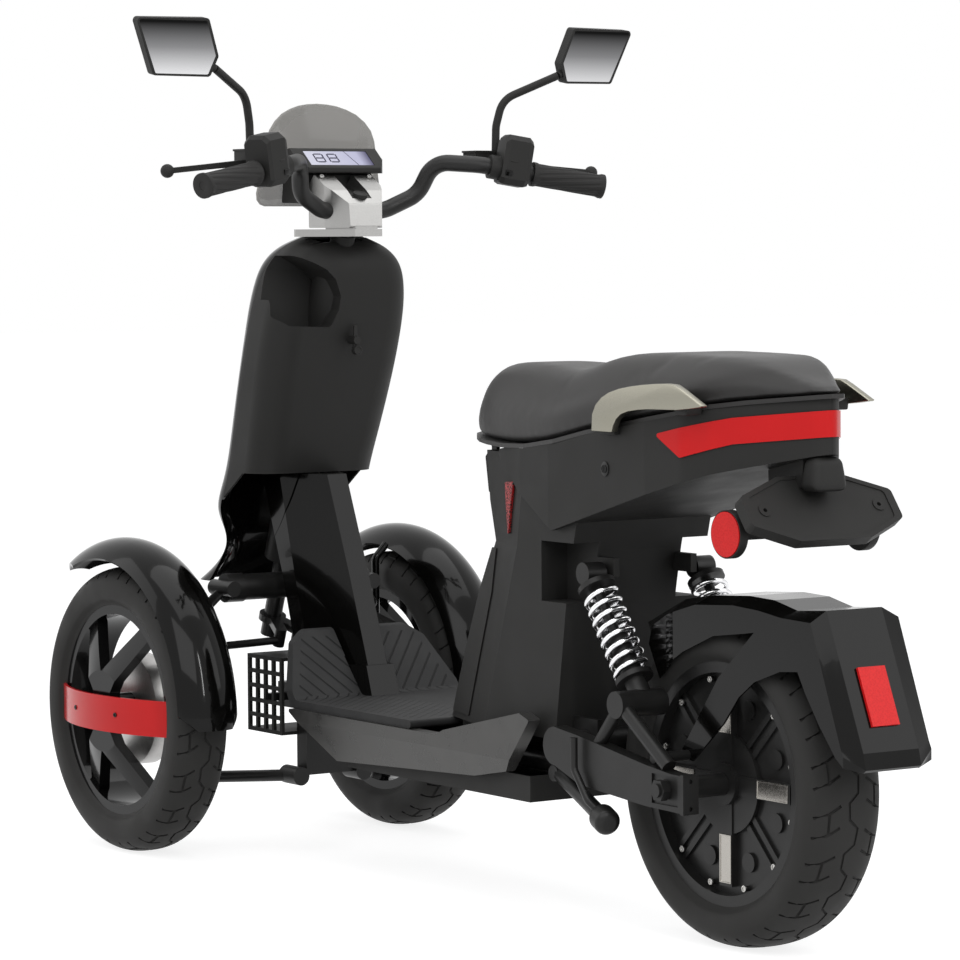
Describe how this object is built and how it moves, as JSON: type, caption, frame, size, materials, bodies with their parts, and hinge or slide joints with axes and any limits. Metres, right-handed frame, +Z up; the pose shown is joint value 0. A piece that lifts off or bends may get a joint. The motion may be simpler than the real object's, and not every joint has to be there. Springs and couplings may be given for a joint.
{
  "type": "three-wheeled electric scooter",
  "caption": "Three-wheeled electric scooter with leaning front suspension, step-through floor, hinged seat over the battery box and a hub motor in the rear wheel",
  "frame": {"origin": "floor under the middle of the vehicle's overall box", "axes": "+X forward (the longest side), +Y to the rider's left (the shortest side), +Z up"},
  "size_m": [1.7295, 0.8624, 1.2494],
  "materials": {
    "tyre": "matte",
    "gloss_black_rim": "gloss",
    "brushed_steel_drum": "satin",
    "gloss_red": "gloss",
    "black_steel": "satin",
    "motor_black": "satin",
    "gloss_black": "gloss",
    "matte_black": "matte",
    "mat_rubber": "matte",
    "grip_rubber": "matte",
    "dark_silver": "satin",
    "champagne": "satin",
    "red_lens": "gloss",
    "spring_chrome": "polished",
    "clamp_silver": "satin",
    "mirror_glass": "polished",
    "smoked_visor": "gloss",
    "seat_vinyl": "matte"
  },
  "bodies": {
    "chassis": {"main_frame": "black_steel", "front_shield": "gloss_black", "leg_panel": "matte_black", "column_cover": "gloss_black", "grid_cover": "matte_black", "suspension_links": "black_steel", "floor_mat": "mat_rubber", "skirts": "dark_silver", "belly_tray": "matte_black", "battery_box": "matte_black", "tail_covers": "matte_black", "tail_band": "gloss_red", "undertail": "matte_black", "nose_trim": "gloss_black", "mesh_inserts": "red_lens", "grab_rails": "champagne", "plate_holder": "matte_black", "lamp_cup": "matte_black", "round_reflectors": "red_lens", "swingarm": "black_steel", "rear_axle": "black_steel", "shocks": "black_steel", "springs": "spring_chrome", "rear_fender": "gloss_black", "rear_reflector": "red_lens"},
    "steering": {"handlebar": "black_steel", "bar_clamp": "clamp_silver", "grips": "grip_rubber", "switch_boxes": "matte_black", "brake_levers": "matte_black", "mirrors": "matte_black", "mirror_glasses": "mirror_glass", "display": "matte_black", "head_lamp": "matte_black", "visor": "smoked_visor"},
    "knuckle_left": {"knuckle_left": "black_steel", "front_fender_left": "gloss_black"},
    "wheel_front_left": {"tyre_front_left": "tyre", "rim_front_left": "gloss_black_rim", "drum_left": "brushed_steel_drum", "wheel_band_left": "gloss_red"},
    "tie_rod_left": {"tie_rod_left": "black_steel"},
    "knuckle_right": {"knuckle_right": "black_steel", "front_fender_right": "gloss_black"},
    "wheel_front_right": {"tyre_front_right": "tyre", "rim_front_right": "gloss_black_rim", "drum_right": "brushed_steel_drum", "wheel_band_right": "gloss_red"},
    "tie_rod_right": {"tie_rod_right": "black_steel"},
    "wheel_rear": {"tyre_rear": "tyre", "hub_motor": "motor_black"},
    "seat": {"seat_cushion": "seat_vinyl", "seat_base": "matte_black"},
    "side_stand": {"side_stand": "black_steel"}
  },
  "joints": [
    {"name": "steer", "type": "hinge", "parent": "chassis", "child": "steering", "pos_m": [0.63618, 0, 0.345], "axis": [-0.342, 0, 0.9397], "range_deg": [-20, 20]},
    {"name": "kingpin_left", "type": "hinge", "parent": "chassis", "child": "knuckle_left", "pos_m": [0.64875, 0.152, 0.2175], "axis": [-0.342, 0, 0.9397], "range_deg": [-20, 20]},
    {"name": "spin_front_left", "type": "hinge", "parent": "knuckle_left", "child": "wheel_front_left", "pos_m": [0.64875, 0.237, 0.2175], "axis": [0, 1, 0], "continuous": true},
    {"name": "tie_rod_left", "type": "hinge", "parent": "steering", "child": "tie_rod_left", "pos_m": [0.58544, 0.016, 0.32653], "axis": [-0.342, 0, 0.9397], "range_deg": [-20, 20]},
    {"name": "kingpin_right", "type": "hinge", "parent": "chassis", "child": "knuckle_right", "pos_m": [0.64875, -0.152, 0.2175], "axis": [-0.342, 0, 0.9397], "range_deg": [-20, 20]},
    {"name": "spin_front_right", "type": "hinge", "parent": "knuckle_right", "child": "wheel_front_right", "pos_m": [0.64875, -0.237, 0.2175], "axis": [0, 1, 0], "continuous": true},
    {"name": "tie_rod_right", "type": "hinge", "parent": "steering", "child": "tie_rod_right", "pos_m": [0.58544, -0.016, 0.32653], "axis": [-0.342, 0, 0.9397], "range_deg": [-20, 20]},
    {"name": "spin_rear", "type": "hinge", "parent": "chassis", "child": "wheel_rear", "pos_m": [-0.56825, 0, 0.2175], "axis": [0, 1, 0], "continuous": true},
    {"name": "seat_hinge", "type": "hinge", "parent": "chassis", "child": "seat", "pos_m": [-0.02025, 0, 0.645], "axis": [0, 1, 0], "range_deg": [0, 75]},
    {"name": "stand", "type": "hinge", "parent": "chassis", "child": "side_stand", "pos_m": [-0.27825, 0.1, 0.206], "axis": [0, 1, 0], "range_deg": [-90, 0]}
  ],
  "couplings": [
    {"joint": "kingpin_left", "follows": "steer", "ratio": 1},
    {"joint": "tie_rod_left", "follows": "steer", "ratio": -1},
    {"joint": "kingpin_right", "follows": "steer", "ratio": 1},
    {"joint": "tie_rod_right", "follows": "steer", "ratio": -1}
  ]
}
